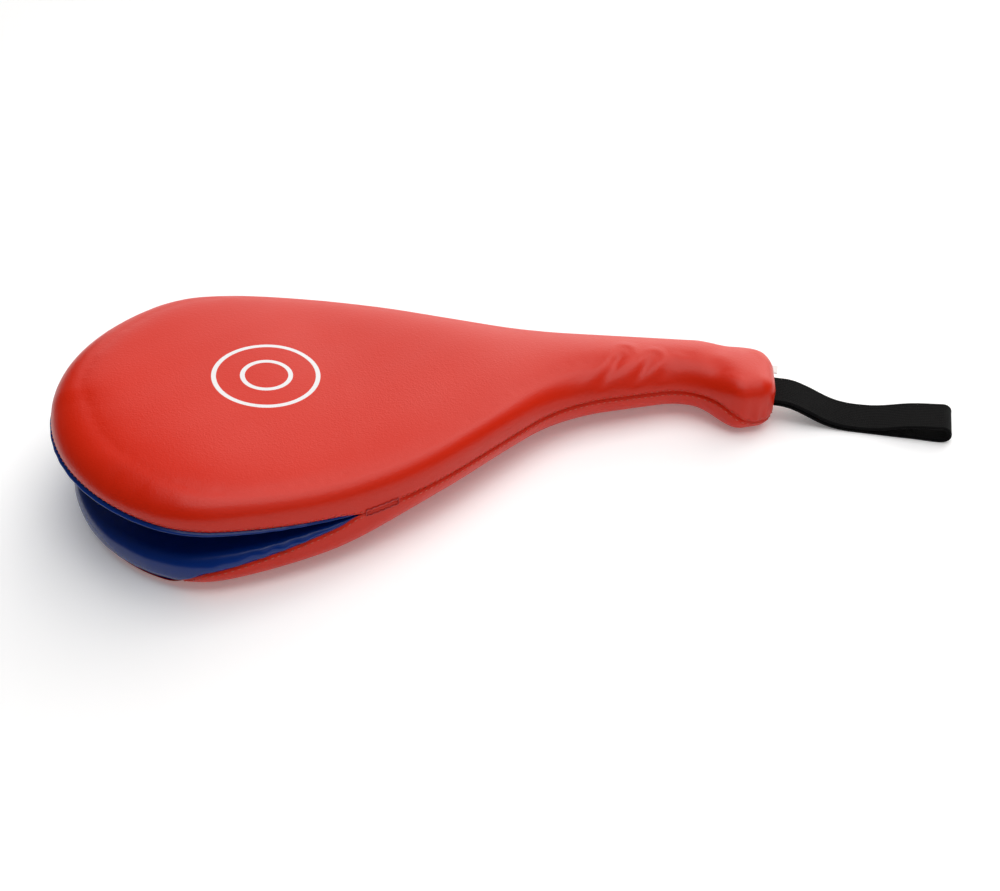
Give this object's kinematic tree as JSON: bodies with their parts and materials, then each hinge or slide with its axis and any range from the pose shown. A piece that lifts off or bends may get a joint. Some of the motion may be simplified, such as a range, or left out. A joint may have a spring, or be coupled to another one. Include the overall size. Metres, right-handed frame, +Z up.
{
  "type": "kick paddle",
  "caption": "Double kick paddle: padded red and blue leathercloth blades sewn at the throat into one hooked handle, with a black webbing wrist strap.",
  "frame": {"origin": "on the ground under the middle of the whole object, wrist strap included", "axes": "+X from the blades' tip towards the handle and strap, +Y to the side away from the butt's hook, +Z up out of the upper blade's striking face"},
  "size_m": [0.4815, 0.196, 0.0691],
  "materials": {
    "red_leathercloth": "satin, fine grain",
    "blue_leathercloth": "glossy, smooth",
    "foam": "closed-cell foam, matt",
    "backing_foam": "soft foam, matt",
    "board_plastic": "polypropylene sheet",
    "core_wood": "bare plywood",
    "rivet_metal": "bare",
    "webbing": "fine-ribbed elastic webbing",
    "label_cloth": "woven, blank"
  },
  "bodies": {
    "handle": {"handle_core": "core_wood", "handle_rivets": "rivet_metal", "throat_filler": "foam", "handle_foam_upper": "foam", "handle_foam_lower": "foam", "handle_cover_upper": "red_leathercloth", "handle_cover_lower": "red_leathercloth", "strap_tail": "webbing", "label_tab": "label_cloth"},
    "upper_paddle": {"upper_outer_cover": "red_leathercloth", "upper_inner_cover": "blue_leathercloth", "upper_impact_foam": "foam", "upper_stiffener_board": "board_plastic", "upper_backing_foam": "backing_foam"},
    "lower_paddle": {"lower_outer_cover": "red_leathercloth", "lower_inner_cover": "blue_leathercloth", "lower_impact_foam": "foam", "lower_stiffener_board": "board_plastic", "lower_backing_foam": "backing_foam"},
    "strap": {"strap_loop": "webbing"}
  },
  "joints": [
    {"name": "upper_flex", "type": "hinge", "parent": "handle", "child": "upper_paddle", "pos_m": [-0.09048, 0, 0.02752], "axis": [0, 1, 0], "range_deg": [-5, 5], "stiffness_Nm_per_rad": 60, "deforming": ["upper_stiffener_board"]},
    {"name": "lower_flex", "type": "hinge", "parent": "handle", "child": "lower_paddle", "pos_m": [-0.09048, 0, 0.02752], "axis": [0, -1, 0], "range_deg": [-5, 5], "stiffness_Nm_per_rad": 60, "deforming": ["lower_stiffener_board"]},
    {"name": "strap_swing", "type": "hinge", "parent": "handle", "child": "strap", "pos_m": [0.15156, -0.0285, 0.01678], "axis": [-0.4384, -0.8988, 0], "range_deg": [-60, 90]}
  ]
}
